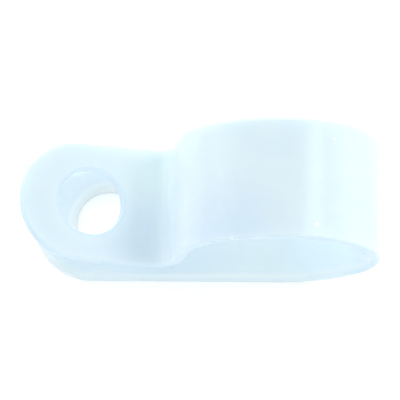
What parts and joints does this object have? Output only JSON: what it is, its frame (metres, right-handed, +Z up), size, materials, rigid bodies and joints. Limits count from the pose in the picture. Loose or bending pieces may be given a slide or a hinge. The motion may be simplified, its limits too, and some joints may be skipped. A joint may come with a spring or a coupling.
{
  "type": "cable clamp",
  "caption": "Loop-shaped nylon cable clamp, moulded in one piece and shown open: a strap bent round a cable, with a screw hole in each of its rounded ears.",
  "frame": {"origin": "centre of the lower screw hole, on the underside of the base", "axes": "+X from the screw hole to the loop, +Y along the cable, +Z up from the panel that the base lies on"},
  "size_m": [0.0284, 0.0094, 0.0162],
  "materials": {
    "nylon": "translucent milky natural nylon, satin as moulded"
  },
  "bodies": {
    "root": {"clamp": "nylon"}
  },
  "joints": []
}
